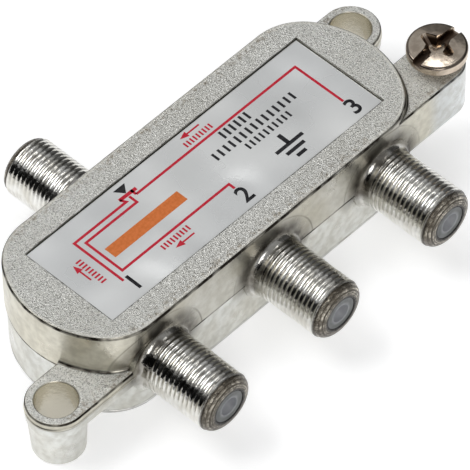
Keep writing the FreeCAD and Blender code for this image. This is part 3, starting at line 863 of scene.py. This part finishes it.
def line_of(points, width):
    """A line of even width, mitred at each bend, as one quad for each run."""
    left, right = [], []
    for step, (x, y) in enumerate(points):
        before = points[max(step - 1, 0)]
        after = points[min(step + 1, len(points) - 1)]
        arms = [Vector((x - before[0], y - before[1])), Vector((after[0] - x, after[1] - y))]
        normals = [Vector((-arm.y, arm.x)).normalized() for arm in arms if arm.length > 0]
        mitre = (normals[0] + normals[-1]).normalized()
        out = mitre * (width / 2 / mitre.dot(normals[0]))
        left.append((x + out.x, y + out.y))
        right.append((x - out.x, y - out.y))
    return [[left[step], left[step + 1], right[step + 1], right[step]] for step in range(len(points) - 1)]


def arrow(tail, tip):
    """A thin arrow as its shaft and its head."""
    way = (Vector(tip) - Vector(tail)).normalized()
    across = Vector((-way.y, way.x)) * arrow_head / 2
    neck = Vector(tip) - way * arrow_head * 1.3
    return line_of([tail, tuple(neck)], arrow_width) + [[tip, tuple(neck + across), tuple(neck - across)]]


def ticks(start, count, pitch, height, width, along=(1, 0)):
    """A row of short upright bars, like a scale."""
    way = Vector(along)
    across = Vector((-way.y, way.x))
    feet = [Vector(start) + way * pitch * step for step in range(count)]
    return [bar for foot in feet for bar in line_of([tuple(foot), tuple(foot + across * height)], width)]


red_shapes = []
for route in ([(-8.9, 5.06), (23.5, 5.06), (23.5, -4.4)],
              [(-11.3, 5.95), (-10.84, 5.08), (-21.2, 5.08), (-21.2, -4.6)],
              [(-9.85, 5.5), (-9.85, 3.98), (-20.0, 3.98), (-20.0, -3.17), (1.33, -3.17), (1.33, -4.3)],
              [(-8.9, 5.06), (-8.9, 6.2)]):
    red_shapes += line_of(route, line_width)
red_shapes += line_of([(-11.4, 5.95), (-8.1, 5.85)], 0.6)
for tail, tip in (((6.34, 7.6), (2.5, 7.6)), ((-8.32, -5.78), (-12.03, -5.78)),
                  ((-24.2, -1.22), (-24.2, 2.36))):
    red_shapes += arrow(tail, tip)
for start, along in (((2.3, 5.75), (1, 0)), ((-13.2, -4.95), (1, 0)), ((-22.6, -2.6), (0, 1))):
    red_shapes += ticks(start, 9, 0.62, 1.0, 0.3, along)
black_shapes = (ticks((7.2, 3.0), 6, 1.0, 1.55, 0.42) + ticks((3.6, 0.9), 15, 1.12, 1.5, 0.42)
                + ticks((8.2, -0.95), 10, 0.92, 1.25, 0.36) + line_of([(12.6, -2.0), (12.6, -4.0)], 0.7))
for width, y in ((5.4, -4.2), (3.6, -5.4), (1.8, -6.6)):
    black_shapes += line_of([(12.6 - width / 2, y), (12.6 + width / 2, y)], 0.6)
black_shapes.append([(-10.9, 7.7), (-9.75, 6.2), (-8.6, 7.7)])
orange_shapes = [[(-19.0, -0.85), (-4.6, -0.85), (-4.6, 1.3), (-19.0, 1.3)]]

inks = {"label_path": (red_shapes, (0.46, 0.012, 0.03)),
        "label_marks": (black_shapes, (0.012, 0.012, 0.014)),
        "label_field": (orange_shapes, (0.56, 0.15, 0.035))}
for name, (shapes, colour) in inks.items():
    page = print_flat(shapes)
    if name == "label_marks":
        for numeral, (x, y) in numerals.items():
            text = bpy.data.curves.new("numeral", "FONT")
            text.body = numeral
            text.size, text.offset = numeral_size * MM, numeral_weight * MM
            letter = put("numeral", text)
            flat_letter = baked(letter)
            flat_letter.transform(Matrix.Translation((x * MM, y * MM, ink_height)))
            page.from_mesh(flat_letter)
            bpy.data.objects.remove(letter)
    raised = bmesh.ops.extrude_face_region(page, geom=list(page.faces))
    bmesh.ops.translate(page, vec=(0, 0, -ink_thickness),
                        verts=[item for item in raised["geom"] if isinstance(item, bmesh.types.BMVert)])
    bmesh.ops.recalc_face_normals(page, faces=page.faces)
    printed = show(name, mesh_from(name, page), ink(name + "_ink", colour))
    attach(printed, "case")

# The earth screw: a nickel-plated cheese head with a slot and a cross in its low dome, left
# standing clear of the lug. The slot and the cross are cut into the turned head.
screw_low, screw_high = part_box("ground_screw")
screw_axis = Vector(((screw_low.x + screw_high.x) / 2, (screw_low.y + screw_high.y) / 2, 0))
head_radius, shank_radius = 4.5 * MM, 2.0 * MM
side_height, dome_height, shoulder = 1.3 * MM, 1.95 * MM, 0.45 * MM
head_top, head_base = screw_high.z, screw_high.z - dome_height
tip = screw_low.z - head_base
dome_edge, edge_top = head_radius - shoulder, side_height - 0.2 * MM + shoulder
slot_length, slot_floor, cross_floor = 6 * MM, head_top - 1.4 * MM, head_top - 1.85 * MM
shank_steps, shoulder_steps, dome_steps = 84, 6, 8
tip_bevel, head_bevel = 0.4 * MM, 0.15 * MM
screw_thread = {"Pitch": 0.7 * MM, "Depth": 0.35 * MM, "Thread_Start": tip + 0.3 * MM,
                "Thread_End": -0.1 * MM, "Inner_Limit": 1.9 * MM, "Seam": 0.0, "Steps_Round": 81}
screw_profile = [(0.0, tip), (shank_radius - tip_bevel, tip), (shank_radius, tip + tip_bevel)]
screw_profile += [(shank_radius, along)
                  for along in steps_between(tip + 0.5 * MM, -0.3 * MM, shank_steps)]
screw_profile += [(shank_radius, 0), (head_radius - head_bevel, 0), (head_radius, head_bevel)]
for step in range(shoulder_steps + 1):
    turn = TURN / 4 * step / shoulder_steps
    screw_profile.append((dome_edge + shoulder * math.cos(turn),
                          edge_top - shoulder + shoulder * math.sin(turn)))
for step in range(1, dome_steps + 1):
    share = 1 - step / dome_steps
    screw_profile.append((dome_edge * share, dome_height - (dome_height - edge_top) * share ** 2))

steel, nodes = new_material("dark_nickel")
spot = apart(nodes, coordinates(nodes))
square = squares(minus(spot["X"], screw_axis.x), minus(spot["Y"], screw_axis.y))
dome_level = minus(head_top, times(square, (dome_height - edge_top) / dome_edge ** 2))
# Painted shade in the slot and the cross.
recess_shade = times(ramp(minus(dome_level, spot["Z"]), 0.05 * MM, 0.7 * MM),
               ramp(square, (head_radius - 0.1 * MM) ** 2, (head_radius - 0.4 * MM) ** 2),
               ramp(spot["Z"], head_base + 0.2 * MM, head_base + 0.4 * MM))
# Darker round the shoulder of the head.
shoulder_dark = times(ramp(square, (4.0 * MM) ** 2, (4.2 * MM) ** 2),
                      ramp(spot["Z"], head_base + 1.15 * MM, head_base + 1.3 * MM), 0.85)
nickel = patchy(nodes, 500, (0.48, 0.40, 0.32), (0.68, 0.59, 0.485), detail=4)
nickel = between(recess_shade, nickel, (0.13, 0.095, 0.07))
nickel = between(shoulder_dark, nickel, (0.10, 0.08, 0.065))
finish(nodes, nickel, mottled(nodes, 600, 0.12, 0.24, detail=4), relief=mottled(nodes, 420, detail=2),
       strength=0.5, depth=0.05 * MM)

screw_mesh = turned_pieces("earth_screw", screw_profile, [((0, 0, 0), (0, 0, 0))], Material=steel,
                           **screw_thread)
upright = Matrix.Rotation(TURN / 4, 4, "X")
screw_mesh.transform(Matrix.Translation(screw_axis + Vector((0, 0, head_base))) @ upright)
screw_piece = show("earth_screw", screw_mesh, steel)


def loft(name, sections):
    """A closed solid through outlines of equal count, given as (points, height)."""
    solid = bmesh.new()
    rings = [[solid.verts.new((screw_axis.x + x, screw_axis.y + y, height)) for x, y in points]
             for points, height in sections]
    for lower, upper in zip(rings, rings[1:]):
        wall_between(solid, lower, upper)
    for ring in (rings[0], rings[-1]):
        edges = [solid.edges.get((ring[step - 1], ring[step])) for step in range(len(ring))]
        bmesh.ops.triangle_fill(solid, edges=edges, use_beauty=True)
    bmesh.ops.recalc_face_normals(solid, faces=solid.faces)
    return put(name, mesh_from(name, solid))


def slot_section(width):
    """The slot's outline, longer than the head is wide."""
    return [(-slot_length, -width), (slot_length, -width), (slot_length, width), (-slot_length, width)]


def cross_section(arm, width, tip_width):
    """A plus sign whose four arms narrow outwards, each to a blunt point."""
    corner = [(arm, -tip_width), (arm + tip_width / 2, 0), (arm, tip_width), (width, width)]
    plus = []
    for _ in range(4):
        plus += corner
        corner = [(-y, x) for x, y in corner]
    return plus


slot_levels = ((0.68, slot_floor), (0.76, head_top - 0.3 * MM), (1.0, head_top + 0.3 * MM))
cross_levels = ((1.2, 0.55, 0.35, cross_floor), (2.6, 1.0, 0.45, head_top - 0.4 * MM),
                (3.1, 1.35, 0.7, head_top + 0.3 * MM))
cutters = [loft("slot", [(slot_section(width * MM), level) for width, level in slot_levels]),
           loft("cross", [(cross_section(arm * MM, width * MM, tip_width * MM), level)
                          for arm, width, tip_width, level in cross_levels])]
for cutter in cutters:
    cut = screw_piece.modifiers.new(cutter.name, "BOOLEAN")
    cut.operation, cut.solver, cut.object = "DIFFERENCE", "EXACT", cutter
cut_mesh = baked(screw_piece)
screw_piece.modifiers.clear()
for cutter in cutters:
    bpy.data.objects.remove(cutter)
screw_piece.data = creased("earth_screw_cut", cut_mesh)
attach(screw_piece, "screw")
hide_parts("ground_screw")

# The insulators: milky plastic bushes, pushed into the ports, with a funnel that leads a
# cable's core into the contact behind it. Their face is painted darker round the funnel,
# as shade under the rolled rim, and paler in the funnel against its own shade.
plastic, nodes = new_material("milky_plastic")
from_port = add(nodes, "ShaderNodeGroup", node_tree=port_distance).outputs["Distance"]
# Painted light in the funnel and painted shade round it.
milk = patchy(nodes, 600, (0.34, 0.345, 0.365), (0.44, 0.445, 0.46))
shaded_outer_milk = patchy(nodes, 600, (0.09, 0.097, 0.094), (0.145, 0.152, 0.149))
bush = finish(nodes, between(ramp(from_port, 1.1 * MM, 2.1 * MM), milk, shaded_outer_milk),
              mottled(nodes, 900, 0.3, 0.45), metallic=0.0)
bush.inputs["Subsurface Weight"].default_value = 0.4
bush.inputs["Subsurface Radius"].default_value = (0.8 * MM, 0.9 * MM, 1.0 * MM)
bush.inputs["Subsurface Scale"].default_value = 1.0
for name in ports:
    finish_node("insulator_" + name, plastic)

# The contacts: spring tubes of plain brass behind the insulators. Each grips the core of
# the cable and hands the signal on to the board through its tail.
brass, nodes = new_material("contact_brass")
finish(nodes, patchy(nodes, 800, (0.62, 0.50, 0.26), (0.78, 0.66, 0.40)), mottled(nodes, 900, 0.2, 0.4))
for name in ports:
    finish_node("contact_" + name, brass)

# The circuit: a green lacquered board that hangs on two cast pegs inside the case. It
# carries chip capacitors, diodes and resistors, and three ring cores wound with enamelled
# copper wire, all soldered on.


def plain_finish(name, dark, light, roughness, scale=900, metallic=0.0):
    """A mottled finish for a small part of the circuit."""
    material, nodes = new_material(name)
    finish(nodes, patchy(nodes, scale, dark, light, detail=4),
           mottled(nodes, scale, roughness - 0.08, roughness + 0.08), metallic=metallic,
           relief=mottled(nodes, scale * 2), strength=0.4, depth=0.03 * MM)
    return material


laminate = plain_finish("green_laminate", (0.03, 0.13, 0.06), (0.05, 0.20, 0.09), 0.35, 1500)
ceramic = plain_finish("tan_ceramic", (0.42, 0.30, 0.18), (0.52, 0.38, 0.24), 0.4)
film = plain_finish("black_film", (0.02, 0.02, 0.022), (0.04, 0.04, 0.045), 0.4)
ferrite = plain_finish("sintered_ferrite", (0.03, 0.03, 0.032), (0.07, 0.07, 0.072), 0.6, 2000)
enamel = plain_finish("enamelled_copper", (0.42, 0.12, 0.04), (0.60, 0.22, 0.08), 0.25, 1200, metallic=1.0)
finish_node("circuit_board", laminate)
for name in ports:
    finish_node("blocking_capacitor_" + name, ceramic)
for number in (1, 2, 3):
    finish_node(f"pass_diode_{number}", film)
for number in (1, 2):
    finish_node(f"balance_resistor_{number}", film)
for name in ("match", "split_1", "split_2"):
    finish_node(name + "_core", ferrite)
    finish_node(name + "_winding", enamel)
